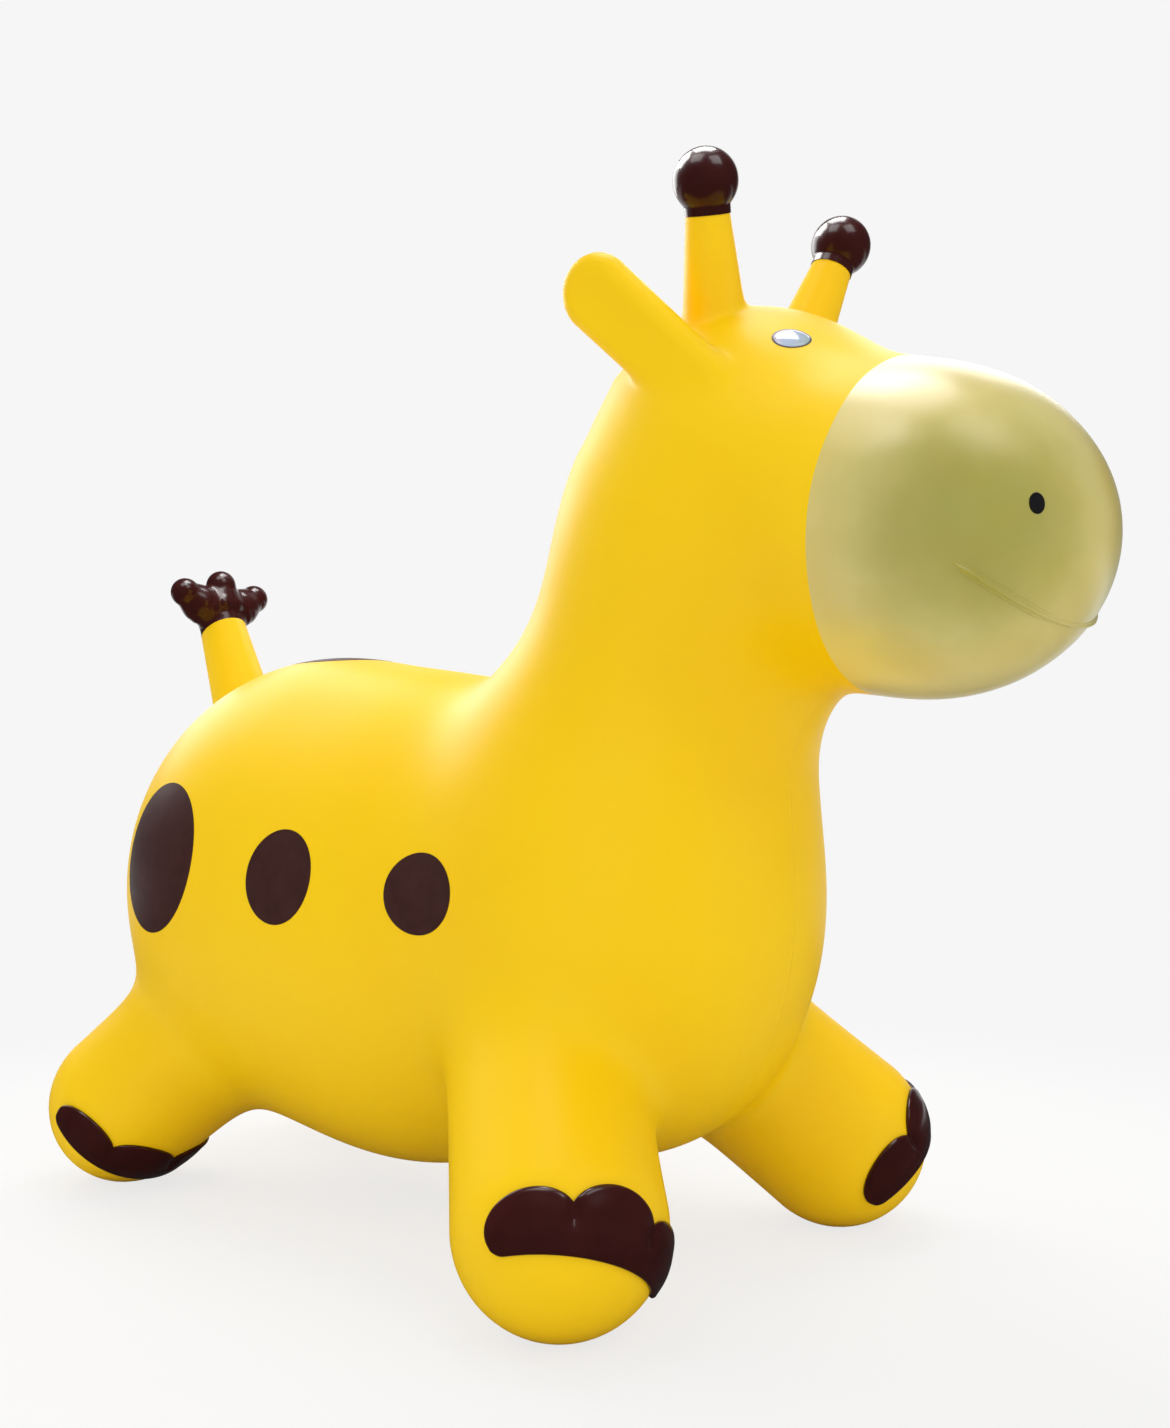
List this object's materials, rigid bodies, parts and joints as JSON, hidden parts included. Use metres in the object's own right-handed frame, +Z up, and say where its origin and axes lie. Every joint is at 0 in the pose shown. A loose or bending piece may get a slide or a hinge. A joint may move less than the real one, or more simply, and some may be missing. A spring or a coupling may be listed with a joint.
{
  "type": "bouncy ride-on animal",
  "caption": "Air-filled ride-on giraffe of soft moulded plastic, with horns for grips, paddle ears, raised hooves, painted spots, a tufted tail and a plugged air valve.",
  "frame": {"origin": "on the floor, under the middle of the whole animal's box", "axes": "+Z up, -Y towards the nose, +X towards the animal's left side"},
  "size_m": [0.3076, 0.599, 0.5011],
  "materials": {
    "skin_yellow": "soft satin PVC, coloured through, slightly glossy where it is stretched",
    "muzzle_cream": "pearly cream paint on soft PVC, satin",
    "gloss_brown": "dark red-brown gloss paint on moulded relief",
    "spot_brown": "dark red-brown matte paint film",
    "eye_lilac": "glossy dome, pale lilac inside a dark outline",
    "nostril_black": "black paint dot",
    "plug_white": "plain white soft plastic"
  },
  "bodies": {
    "skin": {"torso": "skin_yellow", "neck": "skin_yellow", "head": "skin_yellow", "leg_front_left": "skin_yellow", "leg_front_right": "skin_yellow", "leg_rear_left": "skin_yellow", "leg_rear_right": "skin_yellow", "horn_left": "skin_yellow", "horn_right": "skin_yellow", "ear_left": "skin_yellow", "ear_right": "skin_yellow", "tail": "skin_yellow", "valve_seat": "skin_yellow", "muzzle": "muzzle_cream", "hoof_front_left": "gloss_brown", "hoof_front_right": "gloss_brown", "hoof_rear_left": "gloss_brown", "hoof_rear_right": "gloss_brown", "horn_knob_left": "gloss_brown", "horn_knob_right": "gloss_brown", "tail_tuft": "gloss_brown", "spot_rump_left": "spot_brown", "spot_rump_right": "spot_brown", "spot_flank_left": "spot_brown", "spot_flank_right": "spot_brown", "spot_shoulder_left": "spot_brown", "spot_shoulder_right": "spot_brown", "spot_back": "spot_brown", "eye_left": "eye_lilac", "nostril_left": "nostril_black", "eye_right": "eye_lilac", "nostril_right": "nostril_black"},
    "plug": {"air_plug": "plug_white"}
  },
  "joints": [
    {"name": "plug_pull", "type": "slide", "parent": "skin", "child": "plug", "axis": [0, 0, -1], "range_m": [0, 0.016]}
  ]
}
